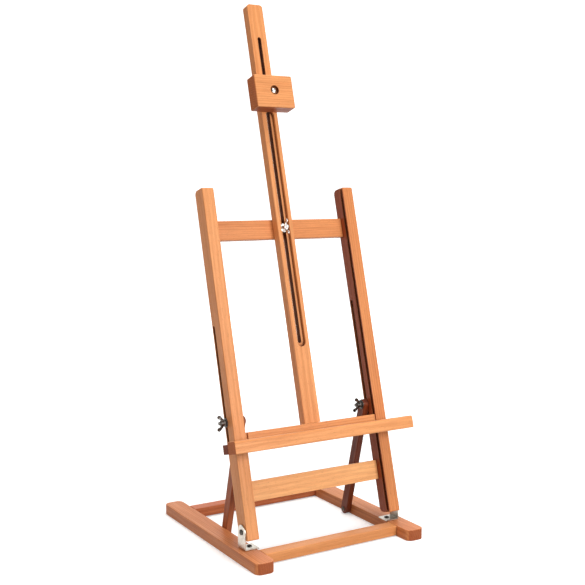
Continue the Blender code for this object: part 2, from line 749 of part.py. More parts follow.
def top_clamp():
    """The block that holds the canvas's top edge, with its bolt, washer and wing nut."""
    across = BLOCK_HALF_WIDTH
    outline = rectangle((-across, BLOCK_BOTTOM), (across, BLOCK_TOP), [BLOCK_CORNER_RADIUS] * 4)
    block = prism("top_clamp_block", outline, "Y", BLOCK_FRONT, BLOCK_BACK)
    soften(block, BLOCK_EDGE, segments=3)
    rides_on_frame(block)
    finish_wood(block, LIGHT_WOOD)

    depth = COUNTERBORE_FLOOR - BLOCK_FRONT
    counterbore = hole("top_clamp_counterbore", COUNTERBORE_DIAMETER, depth, COUNTERBORE_SIDES)
    on_frame(counterbore, (0.0, BLOCK_FRONT, BLOCK_BOLT_UP))
    aim(counterbore, BACK)
    bore = hole("top_clamp_hole", BOLT_HOLE, BLOCK_BACK - COUNTERBORE_FLOOR + OVERSHOOT)
    on_frame(bore, (0.0, COUNTERBORE_FLOOR, BLOCK_BOLT_UP))
    aim(bore, BACK)
    for cutter in (counterbore, bore):
        cut([block], cutter)

    head_face = COUNTERBORE_FLOOR - GAP
    washer_face = MAST_BACK + GAP
    nut_face = washer_face + WASHER_THICKNESS + GAP
    length = nut_face + NUT_HEIGHT + THREAD_BEYOND_NUT - head_face
    head = BLOCK_BOLT_HEAD_DIAMETER
    bolt = pan_screw("top_clamp_bolt", length, BOLT_DIAMETER, head, BLOCK_BOLT_HEAD_HEIGHT)
    on_frame(bolt, (0.0, head_face, BLOCK_BOLT_UP))
    aim(bolt, -BACK)
    ring = washer("top_clamp_washer")
    on_frame(ring, (0.0, washer_face, BLOCK_BOLT_UP))
    aim(ring, BACK)
    nut = wing_nut("top_clamp_wing_nut")
    on_frame(nut, (0.0, nut_face, BLOCK_BOLT_UP))
    aim(nut, BACK)


# Struts


def strut(hand):
    """A round-ended strut from the slot's bolt down to the base, its origin at the upper bolt."""
    side = SIDES[hand]
    half = STRUT_WIDTH / 2
    outline = round_ended(half, -STRUT_LENGTH - half, half)
    faces = sorted((side * STRUT_INNER_FACE, side * STRUT_OUTER_FACE))
    piece = prism(f"strut_{hand}", outline, "X", *faces)
    soften(piece, WOOD_EDGE)
    on_frame(piece, (0.0, STRUT_BOLT_BACK, STRUT_BOLT_UP))
    piece.rotation_euler.x = STRUT_ANGLE
    finish_wood(piece, DARK_WOOD)
    return piece


def strut_clamp(hand, bar, head_outside, wing_line):
    """A strut's bolt, washer and wing nut, with the head and the nut on opposite sides of the post."""
    side = SIDES[hand]
    outer = POST_OUTER_FACE + GAP
    inner = STRUT_INNER_FACE - GAP
    head_at, washer_at = (outer, inner) if head_outside else (inner, outer)
    away = -1 if head_outside else 1
    nut_at = washer_at + away * (WASHER_THICKNESS + GAP)
    length = abs(nut_at - head_at) + NUT_HEIGHT + THREAD_BEYOND_NUT
    outward = side * away * ACROSS

    bolt = dome_bolt(f"strut_bolt_{hand}", length)
    on_frame(bolt, (side * head_at, STRUT_BOLT_BACK, STRUT_BOLT_UP))
    aim(bolt, -outward)
    ring = washer(f"strut_washer_{hand}")
    on_frame(ring, (side * washer_at, STRUT_BOLT_BACK, STRUT_BOLT_UP))
    aim(ring, outward)
    nut = wing_nut(f"strut_wing_nut_{hand}")
    on_frame(nut, (side * nut_at, STRUT_BOLT_BACK, STRUT_BOLT_UP))
    aim(nut, outward, wing_line)
    bore = hole(f"strut_{hand}_bolt_hole", BOLT_HOLE, STRUT_THICKNESS + 2 * OVERSHOOT)
    on_frame(bore, (side * (STRUT_INNER_FACE - OVERSHOOT / 2), STRUT_BOLT_BACK, STRUT_BOLT_UP))
    aim(bore, side * ACROSS)
    cut([bar], bore)


def strut_foot_screw(hand, bar):
    """The strut's foot pivot. It turns with the strut and stops just short of the runner."""
    side = SIDES[hand]
    name = f"strut_foot_screw_{hand}"
    screw = pan_screw(name, STRUT_THICKNESS, FOOT_SCREW_SHANK, FOOT_SCREW_HEAD, FOOT_SCREW_HEAD_HEIGHT)
    cutter = hole(f"{name}_hole", FOOT_SCREW_SHANK + 2 * GAP, STRUT_THICKNESS + OVERSHOOT, SCREW_SIDES)
    for piece in (screw, cutter):
        piece.parent = bar
        piece.location = (side * (STRUT_INNER_FACE - GAP), 0.0, -STRUT_LENGTH)
    aim(screw, -side * ACROSS)
    aim(cutter, side * ACROSS)
    cut([bar], cutter)


clear_scene()
lean_axis = bpy.data.objects.new("lean_axis", None)
lean_axis.location = (0.0, HINGE_Y, HINGE_Z)
lean_axis.rotation_euler.x = -LEAN
bpy.context.scene.collection.objects.link(lean_axis)

runners = {hand: base_runner(hand) for hand in SIDES}
for place, middle in (("front", FRONT_RAIL_MIDDLE), ("rear", REAR_RAIL_MIDDLE)):
    base_dowels(place, middle, base_rail(place, middle), runners)

posts = {hand: post(hand) for hand in SIDES}
for hand in SIDES:
    bracket = hinge_bracket(hand)
    bracket_screw(hand, bracket, runners[hand])
    hinge_screw(hand, bracket, posts[hand])

crossbars = {place: crossbar(place) for place in CROSSBARS}
for place, bar in crossbars.items():
    crossbar_dowels(place, bar, posts)
mast_clamp(crossbars["upper"])

shelf_lip()
shelf_screws(mast(), shelf_back_board(), shelf_ledge())
top_clamp()

ALONG_STRUT = Vector((0, -math.sin(STRUT_ANGLE), math.cos(STRUT_ANGLE)))
for hand, head_outside, wing_line in (("left", False, PLUMB), ("right", True, ALONG_STRUT)):
    bar = strut(hand)
    strut_clamp(hand, bar, head_outside, wing_line)
    strut_foot_screw(hand, bar)
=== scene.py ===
import json
import math
from collections import namedtuple

import bmesh
import bpy
from mathutils import Matrix, Vector


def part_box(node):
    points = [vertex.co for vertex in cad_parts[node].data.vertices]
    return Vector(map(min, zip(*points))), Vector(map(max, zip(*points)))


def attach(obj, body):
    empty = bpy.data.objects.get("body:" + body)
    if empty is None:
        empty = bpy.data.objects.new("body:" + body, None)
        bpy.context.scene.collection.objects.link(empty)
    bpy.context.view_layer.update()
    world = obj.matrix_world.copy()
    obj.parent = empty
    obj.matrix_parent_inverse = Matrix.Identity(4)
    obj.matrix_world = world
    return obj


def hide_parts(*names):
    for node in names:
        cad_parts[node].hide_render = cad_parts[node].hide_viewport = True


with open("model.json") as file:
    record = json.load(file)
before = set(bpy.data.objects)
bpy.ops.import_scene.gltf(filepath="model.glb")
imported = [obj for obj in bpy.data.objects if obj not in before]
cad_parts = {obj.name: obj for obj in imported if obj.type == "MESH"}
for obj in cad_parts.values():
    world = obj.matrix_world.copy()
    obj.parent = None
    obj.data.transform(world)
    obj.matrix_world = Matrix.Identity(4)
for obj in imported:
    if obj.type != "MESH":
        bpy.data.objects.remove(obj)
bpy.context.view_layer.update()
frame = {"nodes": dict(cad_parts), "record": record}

# The design's own sizes, in metres and radians.
LEAN = math.radians(15.4)
STRUT_LEAN = LEAN - math.radians(30.18)
SIDES = {"left": -1, "right": 1}
HINGE_BACK = 0.0153
HINGE_UP = 0.0151
GAP = 0.0003
BOLT_DIAMETER = 0.006
THREAD_PITCH = 0.0010
THREAD_DEPTH = 0.00042
DOME_HEAD_DIAMETER = 0.014
DOME_HEAD_HEIGHT = 0.0033
WASHER_DIAMETER = 0.016
WASHER_THICKNESS = 0.0016
WASHER_BORE = 0.0066
NUT_BASE_RADIUS = 0.0058
NUT_TOP_RADIUS = 0.0047
NUT_HEIGHT = 0.0085
WING_REACH = 0.0138
WING_THICKNESS = 0.0026
WING_TIP_RADIUS = 0.0032
WING_TIP_HEIGHT = 0.0108
THREAD_BEYOND_NUT = 0.0030
STRUT_GRIP = 0.0358
MAST_GRIP = 0.0258
BLOCK_GRIP = 0.0439
BLOCK_HEAD_DIAMETER = 0.0105
BLOCK_HEAD_HEIGHT = 0.0042
MAST_BACK = 0.0188
BACKBOARD_BACK = 0.0087

Screw = namedtuple("Screw", "shank head height length")
HINGE_SCREW = Screw(shank=0.0045, head=0.0095, height=0.0024, length=0.020)
BRACKET_SCREW = Screw(shank=0.004, head=0.0085, height=0.0022, length=0.014)
FOOT_SCREW = Screw(shank=0.0045, head=0.009, height=0.0022, length=0.011)
SCREW_PITCH = 0.0017
SCREW_THREAD_DEPTH = 0.0007
SCREW_POINT = 0.004
SCREW_NECK = 0.003
BOLT_NECK = 0.004

# The shelf's countersunk screws: distance from the middle, the face that each is flush with, and length.
SHELF_SCREWS = {"lap": (0.009, MAST_BACK, 0.032), "outer": (0.090, BACKBOARD_BACK, 0.022)}
SHELF_SCREW_UP = 0.153
SHELF_SCREW_HEAD = 0.0078
SHELF_SCREW_SHANK = 0.004
SHELF_SCREW_NECK = 0.006
SHELF_SCREW_RIM = 0.0004
SHELF_SCREW_THREAD_DEPTH = 0.0006

# The view.
CAMERA_PLACE = (-0.9159, -1.5316, 0.6214)
CAMERA_YAW = 31.061
CAMERA_PITCH = 6.146
SENSOR = 36.0
LENS = 61.79

UP_POST = Vector((0, math.sin(LEAN), math.cos(LEAN)))
BACK = Vector((0, math.cos(LEAN), -math.sin(LEAN)))
ACROSS = Vector((1, 0, 0))
DEEP = Vector((0, 1, 0))
PLUMB = Vector((0, 0, 1))
ALONG_STRUT = Vector((0, math.sin(STRUT_LEAN), math.cos(STRUT_LEAN)))

# The backdrop, in metres.
FLOOR_FRONT = -6.0
FLOOR_BACK = 4.0
SWEEP_RADIUS = 2.0
SWEEP_STEPS = 24
BACKDROP_TOP = 7.0
BACKDROP_HALF_WIDTH = 9.0

# The lights.
WHITE = (1.0, 1.0, 1.0)
WARM = (1.0, 0.80, 0.68)
ROOM_LIGHT = 0.30
Lamp = namedtuple("Lamp", "place target size power colour shines", defaults=(WHITE, True))
LAMPS = {
    "key": Lamp(place=(0.5, -2.6, 1.2), target=(0, 0, 0.3), size=1.2, power=63),
    "top": Lamp(place=(0.3, -0.2, 4.2), target=(0, 0, 0.2), size=2.1, power=112),
    "side": Lamp(place=(-2.7, -0.5, 1.3), target=(0, 0, 0.4), size=1.6, power=24, colour=WARM),
    "back": Lamp(place=(0.9, 2.8, 1.5), target=(0, 0, 0.4), size=1.8, power=30, shines=False),
}

# Linear colours. Each wood has a light and a dark tone, which its grain runs between.
HONEY = (0.74, 0.320, 0.118)
HONEY_DARK = (0.58, 0.215, 0.070)
AMBER = (0.66, 0.250, 0.085)
AMBER_DARK = (0.50, 0.165, 0.050)
RUSSET = (0.66, 0.250, 0.090)
RUSSET_DARK = (0.48, 0.150, 0.050)
CHESTNUT = (0.60, 0.170, 0.060)
CHESTNUT_DARK = (0.40, 0.100, 0.034)
UMBER = (0.38, 0.105, 0.034)
UMBER_DARK = (0.21, 0.050, 0.016)
# Painted shade: darker tones for the right strut, standing in for its shadow.
SHADED_UMBER = (0.22, 0.045, 0.012)
SHADED_UMBER_DARK = (0.13, 0.025, 0.007)
PALE = (0.88, 0.440, 0.175)
PALE_DARK = (0.72, 0.310, 0.112)
# Painted shade for slots, grooves and inner corners.
HOLLOW_SHADE = (0.100, 0.020, 0.003)
# Painted shade: the tint that darkens faces looking towards a shaded direction.
PAINTED_SHADE_TINT = (0.50, 0.30, 0.26)
DOWEL = (0.70, 0.48, 0.27)
DOWEL_DARK = (0.52, 0.32, 0.16)
BRIGHT_STEEL = (0.76, 0.74, 0.71)
PLATE_STEEL = (0.64, 0.60, 0.53)
# Painted shadow: dark steel for the strut foot screws, which sit in shadow.
FOOT_SHADOW_STEEL = (0.14, 0.11, 0.09)
# Painted shade: a dark copy of the steel for the strut clamps and the hinge and bracket screws.
SHADED_STEEL = (0.12, 0.112, 0.102)

# How much each layer of a wood's grain counts towards its tone.
RING_SHARE = 0.16
STREAK_SHARE = 0.62
CLOUD_SHARE = 0.46
# How far a wall reaches in painting shade on what lies beside it, in metres.
HOLLOW_SHADE_REACH = 0.014


class Graph:
    """A material's nodes, written as short calls that return sockets."""

    def __init__(self, name):
        self.material = bpy.data.materials.new(name)
        self.material.use_nodes = True
        self.tree = self.material.node_tree
        self.shader = self.tree.nodes["Principled BSDF"]

    def node(self, kind, inputs=(), **settings):
        made = self.tree.nodes.new(kind)
        for key, value in settings.items():
            setattr(made, key, value)
        for key, value in dict(inputs).items():
            self.feed(made.inputs[key], value)
        return made

    def feed(self, socket, value):
        if isinstance(value, bpy.types.NodeSocket):
            self.tree.links.new(value, socket)
        else:
            socket.default_value = value

    def math(self, operation, a, b=0.0, clamp=False):
        made = self.node("ShaderNodeMath", {0: a, 1: b}, operation=operation, use_clamp=clamp)
        return made.outputs[0]

    def blend(self, factor, a, b, kind="MIX"):
        made = self.node("ShaderNodeMix", data_type="RGBA", blend_type=kind)
        self.feed(made.inputs["Factor"], factor)
        self.feed(made.inputs["A"], a)
        self.feed(made.inputs["B"], b)
        return made.outputs["Result"]

    def span(self, value, low, high, to_low=0.0, to_high=1.0):
        """Maps low..high smoothly onto to_low..to_high, and holds beyond them."""
        inputs = {"Value": value, "From Min": low, "From Max": high, "To Min": to_low, "To Max": to_high}
        return self.node("ShaderNodeMapRange", inputs, interpolation_type="SMOOTHSTEP").outputs["Result"]

    def stretch(self, vector, scale, offset=(0, 0, 0)):
        inputs = {"Vector": vector, "Scale": scale, "Location": offset}
        return self.node("ShaderNodeMapping", inputs).outputs["Vector"]

    def noise(self, vector, scale=1.0, detail=2.0, roughness=0.5, distortion=0.0):
        inputs = {"Vector": vector, "Scale": scale, "Detail": detail}
        inputs |= {"Roughness": roughness, "Distortion": distortion}
        return self.node("ShaderNodeTexNoise", inputs).outputs["Fac"]

    def grey(self, value):
        return self.node("ShaderNodeCombineColor", {channel: value for channel in range(3)}).outputs[0]

    def edge_mask(self, radius):
        """1 along sharp edges and 0 on flat ground."""
        rounded = self.node("ShaderNodeBevel", {"Radius": radius}, samples=6).outputs["Normal"]
        plain = self.node("ShaderNodeNewGeometry").outputs["Normal"]
        likeness = self.node("ShaderNodeVectorMath", {0: rounded, 1: plain}, operation="DOT_PRODUCT")
        return self.span(likeness.outputs["Value"], 0.995, 0.86, 0.0, 1.0)


def rgba(colour):
    return (*colour, 1.0)


def scaled(colour, factor):
    return tuple(factor * channel for channel in colour)


def wood(name, grain, light, dark, seed, gloss=0.42, shaded=None):
    """Oiled hardwood, with its grain along one direction of the object at rest.

    Faces that look towards the shaded direction are darkened and reddened as painted shade.
    """
    graph = Graph(name)
    place = graph.node("ShaderNodeTexCoord")
    turn = grain.rotation_difference(PLUMB).to_euler()
    along = graph.node("ShaderNodeMapping", {"Vector": place.outputs["Object"], "Rotation": turn})
    along = along.outputs["Vector"]
    facing = graph.node("ShaderNodeMapping", {"Vector": place.outputs["Normal"], "Rotation": turn})
    facing = graph.node("ShaderNodeSeparateXYZ", {0: facing.outputs["Vector"]}).outputs["Z"]
    end_grain = graph.span(graph.math("ABSOLUTE", facing), 0.55, 0.85)

    shift = (seed * 0.173 % 1.0, seed * 0.317 % 1.0, seed * 0.719 % 1.0)
    # Growth rings round a heart that lies off to one side of the board, wandering a little along it.
    heart_turn = seed * 2.4
    heart = (0.055 * math.cos(heart_turn), 0.055 * math.sin(heart_turn), shift[2])
    wander = graph.noise(graph.stretch(along, (9, 9, 2.2), shift), detail=2.0)
    rings_place = graph.stretch(along, (1, 1, 0.06), heart)
    rings = graph.node(
        "ShaderNodeTexWave",
        {
            "Vector": rings_place,
            "Scale": 74.0,
            "Distortion": 3.2,
            "Detail": 2.0,
            "Detail Scale": 0.9,
            "Phase Offset": graph.math("MULTIPLY", wander, 14.0),
        },
        wave_type="RINGS",
        rings_direction="Z",
    ).outputs["Fac"]
    clouds = graph.noise(graph.stretch(along, (26, 26, 3.2), shift), detail=3.0)
    streaks = graph.noise(graph.stretch(along, (260, 260, 6.5), shift), detail=3.0, roughness=0.6)
    fibres = graph.noise(graph.stretch(along, (1500, 1500, 38), shift), detail=2.0)
    flecks = graph.noise(graph.stretch(along, (1250, 1250, 210), shift), detail=1.0)
    flecks = graph.span(flecks, 0.62, 0.74)

    tone = graph.math("MULTIPLY", rings, RING_SHARE)
    tone = graph.math("ADD", tone, graph.math("MULTIPLY", streaks, STREAK_SHARE))
    tone = graph.math("ADD", tone, graph.math("MULTIPLY", clouds, CLOUD_SHARE))
    tone = graph.span(tone, 0.34, 0.88)
    colour = graph.blend(tone, rgba(light), rgba(dark))
    fibre_shade = graph.span(fibres, 0.30, 0.70, 0.90, 1.07)
    colour = graph.blend(1.0, colour, graph.grey(fibre_shade), "MULTIPLY")
    deep = rgba(scaled(dark, 0.55))
    colour = graph.blend(graph.math("MULTIPLY", flecks, 0.42), colour, deep)

    # End grain is darker and redder, with dots in place of streaks.
    dots = graph.noise(graph.stretch(along, (1900, 1900, 1900), shift), detail=1.0)
    open_ends = (0.78 * dark[0], 0.56 * dark[1], 0.50 * dark[2])
    dotted = rgba(scaled(open_ends, 0.6))
    ringed = rgba(scaled(open_ends, 0.45))
    end_colour = graph.blend(graph.span(dots, 0.35, 0.7), rgba(open_ends), dotted)
    end_colour = graph.blend(graph.math("MULTIPLY", rings, 0.30), end_colour, ringed)
    colour = graph.blend(graph.math("MULTIPLY", end_grain, 0.85), colour, end_colour)

    # Painted shade: faces looking towards the shaded direction are multiplied darker and redder.
    if shaded is not None:
        inputs = {0: place.outputs["Normal"], 1: shaded}
        towards = graph.node("ShaderNodeVectorMath", inputs, operation="DOT_PRODUCT").outputs["Value"]
        shade = graph.blend(1.0, colour, rgba(PAINTED_SHADE_TINT), "MULTIPLY")
        colour = graph.blend(graph.span(towards, 0.70, 0.95), colour, shade)

    # Edges are painted a little paler in patches: rubbing wear, and a painted highlight where rounded
    # edges catch light.
    patches = graph.noise(graph.stretch(along, (120, 120, 40), shift), detail=2.0)
    wear_and_edge_highlight = graph.math("MULTIPLY", graph.edge_mask(0.0012), graph.span(patches, 0.40, 0.66, 0.10, 0.55))
    pale = tuple(min(1.0, 1.22 * c + 0.03) for c in light)
    colour = graph.blend(wear_and_edge_highlight, colour, rgba(pale))
    # Painted shade: slots, grooves and inner corners are darkened towards dark brown.
    inputs = {"Distance": HOLLOW_SHADE_REACH}
    openness = graph.node("ShaderNodeAmbientOcclusion", inputs, samples=8, only_local=True).outputs["AO"]
    hollow_shade = graph.span(openness, 0.74, 0.42)
    colour = graph.blend(graph.math("MULTIPLY", hollow_shade, 0.98), colour, rgba(HOLLOW_SHADE))
    graph.feed(graph.shader.inputs["Base Color"], colour)

    roughness = graph.span(streaks, 0.25, 0.75, gloss - 0.05, gloss + 0.10)
    roughness = graph.math("ADD", roughness, graph.math("MULTIPLY", end_grain, 0.22))
    roughness = graph.math("ADD", roughness, graph.math("MULTIPLY", hollow_shade, 0.40))
    graph.feed(graph.shader.inputs["Roughness"], roughness)
    graph.shader.inputs["Coat Weight"].default_value = 0.04
    graph.shader.inputs["Coat Roughness"].default_value = 0.28
    graph.shader.inputs["Specular IOR Level"].default_value = 0.22

    height = graph.math("ADD", graph.math("MULTIPLY", fibres, 0.5), graph.math("MULTIPLY", streaks, 0.5))
    height = graph.math("SUBTRACT", height, graph.math("MULTIPLY", flecks, 0.55))
    edge = graph.node("ShaderNodeBevel", {"Radius": 0.0009}, samples=6).outputs["Normal"]
    inputs = {"Height": height, "Strength": 0.35, "Distance": 0.00022, "Normal": edge}
    graph.feed(graph.shader.inputs["Normal"], graph.node("ShaderNodeBump", inputs).outputs["Normal"])
    return graph.material


def steel(name, colour=BRIGHT_STEEL, rough=0.24, seed=0.0, brush=(240, 240, 240)):
    """Steel with faint handling marks, dull patches, specks and brighter edges."""
    graph = Graph(name)
    place = graph.node("ShaderNodeTexCoord").outputs["Object"]
    shift = (seed * 0.31 % 1.0, seed * 0.57 % 1.0, seed * 0.83 % 1.0)
    cloud = graph.noise(graph.stretch(place, (90, 90, 90), shift), detail=3.0)
    grain = graph.noise(graph.stretch(place, brush, shift), detail=3.0, roughness=0.65)
    speck = graph.noise(graph.stretch(place, (900, 900, 900), shift), detail=2.0)
    tarnish = graph.span(cloud, 0.45, 0.75, 0.0, 0.55)
    base = graph.blend(tarnish, rgba(colour), rgba(scaled(colour, 0.62)))
    base = graph.blend(graph.span(speck, 0.64, 0.74, 0.0, 0.5), base, rgba(scaled(colour, 0.35)))
    bright = tuple(min(1.0, 1.2 * c) for c in colour)
    base = graph.blend(graph.math("MULTIPLY", graph.edge_mask(0.0004), 0.6), base, rgba(bright))
    graph.feed(graph.shader.inputs["Base Color"], base)
    graph.shader.inputs["Metallic"].default_value = 1.0
    graph.feed(graph.shader.inputs["Roughness"], graph.span(grain, 0.3, 0.7, rough - 0.06, rough + 0.14))
    edge = graph.node("ShaderNodeBevel", {"Radius": 0.0003}, samples=6).outputs["Normal"]
    inputs = {"Height": grain, "Strength": 0.18, "Distance": 0.00008, "Normal": edge}
    graph.feed(graph.shader.inputs["Normal"], graph.node("ShaderNodeBump", inputs).outputs["Normal"])
    return graph.material


def dress(node, material):
    """Gives a CAD node one material all over."""
    slots = frame["nodes"][node].data.materials
    if not slots:
        slots.append(material)
    for index in range(len(slots)):
        slots[index] = material


def dress_wood():
    """Each board has a material of its own, with its grain along its length."""
    boards = {
        "base_runner_left": (DEEP, RUSSET, RUSSET_DARK),
        "base_runner_right": (DEEP, RUSSET, RUSSET_DARK),
        "base_rail_front": (ACROSS, HONEY, HONEY_DARK),
        "base_rail_rear": (ACROSS, CHESTNUT, CHESTNUT_DARK),
        "upright_left": (UP_POST, HONEY, HONEY_DARK),
        # The right upright takes a darker tone than the left one as painted shade.
        "upright_right": (UP_POST, AMBER, AMBER_DARK),
        "crossbar_lower": (ACROSS, PALE, PALE_DARK),
        "crossbar_upper": (ACROSS, AMBER, AMBER_DARK),
        "mast": (UP_POST, HONEY, HONEY_DARK),
        "shelf_front_bar": (ACROSS, HONEY, HONEY_DARK),
        "shelf_ledge": (ACROSS, UMBER, UMBER_DARK),
        "shelf_back_board": (ACROSS, HONEY, HONEY_DARK),
        "top_clamp_block": (ACROSS, HONEY, HONEY_DARK),
        "strut_left": (ALONG_STRUT, UMBER, UMBER_DARK),
        # The right strut is painted darker than the left one, as painted shade.
        "strut_right": (ALONG_STRUT, SHADED_UMBER, SHADED_UMBER_DARK),
    }
    # Painted shade on the right upright's inner face and on the top clamp block's underside.
    shaded = {"upright_right": -ACROSS, "top_clamp_block": -UP_POST}
    for seed, (node, (grain, light, dark)) in enumerate(boards.items(), 1):
        dress(node, wood(f"wood_{node}", grain, light, dark, seed, shaded=shaded.get(node)))
    plain = wood("wood_dowels", ACROSS, DOWEL, DOWEL_DARK, 31, gloss=0.6)
    for node in frame["nodes"]:
        if "_dowel_" in node:
            dress(node, plain)


def dress_brackets():
    plate = steel("steel_plates", PLATE_STEEL, rough=0.30, seed=5.0, brush=(60, 60, 900))
    for hand in SIDES:
        dress(f"hinge_bracket_{hand}", plate)


# Fine fittings. Each stands for one plain node and rides on that node's body.


def turned(profile, sides=48, closed=False):
    """A round mesh about its own Z axis, from a profile of (radius, height) points."""
    mesh = bmesh.new()
    points = [mesh.verts.new((radius, 0.0, height)) for radius, height in profile]
    edges = [mesh.edges.new(pair) for pair in zip(points, points[1:])]
    if closed:
        edges.append(mesh.edges.new((points[-1], points[0])))
    turn = {"cent": (0, 0, 0), "axis": (0, 0, 1), "angle": math.tau, "steps": sides, "use_merge": True}
    bmesh.ops.spin(mesh, geom=points + edges, **turn)
    bmesh.ops.remove_doubles(mesh, verts=mesh.verts, dist=1e-7)
    bmesh.ops.recalc_face_normals(mesh, faces=mesh.faces)
    return mesh


def prism(outline, start, end):
    """A mesh with one outline in its own X and Z, from one Y to another."""
    mesh = bmesh.new()
    ring = [mesh.verts.new((x, start, z)) for x, z in outline]
    extruded = bmesh.ops.extrude_face_region(mesh, geom=[mesh.faces.new(ring)])
    far = [item for item in extruded["geom"] if isinstance(item, bmesh.types.BMVert)]
    bmesh.ops.translate(mesh, verts=far, vec=(0, end - start, 0))
    bmesh.ops.recalc_face_normals(mesh, faces=mesh.faces)
    return mesh


def arc(centre, radius, start, end, steps):
    angles = [start + (end - start) * step / steps for step in range(steps + 1)]
    return [(centre[0] + radius * math.cos(a), centre[1] + radius * math.sin(a)) for a in angles]


def add_piece(name, mesh):
    data = bpy.data.meshes.new(name)
    mesh.to_mesh(data)
    mesh.free()
    piece = bpy.data.objects.new(name, data)
    bpy.context.scene.collection.objects.link(piece)
    return piece


def combine(piece, other, operation):
    boolean = piece.modifiers.new("boolean", "BOOLEAN")
    boolean.operation = operation
    boolean.object = other
    settle(piece)
    bpy.data.objects.remove(other)


def settle(piece):
    """Makes what a piece's modifiers show its own mesh."""
    shown = piece.evaluated_get(bpy.context.evaluated_depsgraph_get())
    data = bpy.data.meshes.new_from_object(shown)
    piece.modifiers.clear()
    piece.data = data


def fitting(piece, node, origin, along, across=UP_POST, material=None):
    """Puts a piece in place of a node, with its own Z along one direction and its X near another."""
    z = along.normalized()
    x = (across - across.project(z)).normalized()
    turn = Matrix((x, z.cross(x), z)).transposed().to_4x4()
    piece.data.transform(Matrix.Translation(origin) @ turn)
    piece.data.materials.clear()
    piece.data.materials.append(material or plated)
    piece.data.shade_smooth()
    piece.data.set_sharp_from_angle(angle=math.radians(38))
    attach(piece, body_of[node])
    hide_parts(node)


def crown(radius, height, rim, steps=10):
    """The outline of a domed head, from its rim to the middle of its top."""
    rise = height - rim
    dome_radius = (radius**2 + rise**2) / (2 * rise)
    middle = (0.0, height - dome_radius)
    dome = arc(middle, dome_radius, math.acos(radius / dome_radius), math.pi / 2, steps)
    return [(radius - rim * 0.3, 0.0), (radius, rim * 0.3)] + dome[:-1] + [(0.0, height)]


def threaded_rod(name, head, length, radius, neck, crest_pitch, depth, point=0.0):
    """A rod down -Z with a head's outline on top and a helical thread below its neck."""
    sides = 40
    rows_per_turn = 10
    plain = head[::-1] + [(radius, -0.0001), (radius, -neck)]
    mesh = bmesh.new()
    rings = [[point_on_rod] * sides for point_on_rod in plain[1:]]
    count = round((length - neck) / crest_pitch * rows_per_turn)
    for row in range(1, count + 1):
        run = (length - neck) * row / count
        fade = min(1.0, run / crest_pitch) * min(1.0, (length - neck - run) / (crest_pitch * 0.8) + 0.15)
        end_taper = max(0.0, run - (length - neck - point)) / point if point else 0.0
        ring = []
        for side in range(sides):
            phase = run / crest_pitch - side / sides
            ridge = 0.5 - 0.5 * math.cos(math.tau * phase)
            r = radius - depth * (1.0 - ridge * fade)
            ring.append((r * (1.0 - 0.9 * end_taper), -neck - run))
        rings.append(ring)
    top = mesh.verts.new((0, 0, plain[0][1]))
    tip = mesh.verts.new((0, 0, -length))
    rows = []
    for ring in rings:
        row = []
        for side, (r, z) in enumerate(ring):
            angle = math.tau * side / sides
            row.append(mesh.verts.new((r * math.cos(angle), r * math.sin(angle), z)))
        rows.append(row)
    for side in range(sides):
        after = (side + 1) % sides
        mesh.faces.new((top, rows[0][side], rows[0][after]))
        mesh.faces.new((tip, rows[-1][after], rows[-1][side]))
        for upper, lower in zip(rows, rows[1:]):
            mesh.faces.new((upper[side], lower[side], lower[after], upper[after]))
    bmesh.ops.recalc_face_normals(mesh, faces=mesh.faces)
    return add_piece(name, mesh)


def cross_recess(piece, face, size):
    """Cuts a tapered cross for a driver into a screw's head."""
    for turn in (0, 1):
        arm = size / 2
        web = size / 7
        cutter = bmesh.new()
        bmesh.ops.create_cube(cutter, size=1.0)
        for corner in cutter.verts:
            top = corner.co.z > 0
            reach = arm if top else arm * 0.35
            corner.co = (corner.co.x * 2 * reach, corner.co.y * 2 * web * (1.0 if top else 0.7), 0.0)
            corner.co.z = face + 0.0005 if top else face - size * 0.42
        if turn:
            bmesh.ops.rotate(cutter, verts=cutter.verts, matrix=Matrix.Rotation(math.pi / 2, 3, "Z"))
        combine(piece, add_piece("recess", cutter), "DIFFERENCE")


def machine_bolt(node, head, length, origin, along, material):
    """A bolt whose head stands above the origin, with a thread that starts a little below it."""
    radius = BOLT_DIAMETER / 2
    piece = threaded_rod(f"{node}_fine", head, length, radius, BOLT_NECK, THREAD_PITCH, THREAD_DEPTH)
    if "top_clamp" in node:
        cross_recess(piece, BLOCK_HEAD_HEIGHT, BLOCK_HEAD_DIAMETER * 0.5)
    fitting(piece, node, origin, along, material=material)


def wood_screw(node, screw, origin, along, material):
    """A pan-headed screw: its head stands above the origin, and its pointed thread runs down."""
    outline = crown(screw.head / 2, screw.height, screw.height * 0.4)
    radius = screw.shank / 2
    thread = (SCREW_NECK, SCREW_PITCH, SCREW_THREAD_DEPTH, SCREW_POINT)
    piece = threaded_rod(f"{node}_fine", outline, screw.length, radius, *thread)
    cross_recess(piece, screw.height, screw.head * 0.52)
    fitting(piece, node, origin, along, material=material)


def flat_screw(node, length, origin, along):
    """A countersunk screw, flush with its origin."""
    head = SHELF_SCREW_HEAD / 2
    shank = SHELF_SCREW_SHANK / 2
    cone = head - shank
    profile = [(shank, -SHELF_SCREW_RIM - cone), (head, -SHELF_SCREW_RIM)]
    profile += [(head, -0.0001), (head - 0.0001, 0.0), (0.0, 0.0)]
    thread = (SHELF_SCREW_NECK, SCREW_PITCH, SHELF_SCREW_THREAD_DEPTH, SCREW_POINT)
    piece = threaded_rod(f"{node}_fine", profile, length, shank, *thread)
    cross_recess(piece, 0.0, SHELF_SCREW_HEAD * 0.5)
    fitting(piece, node, origin, along)


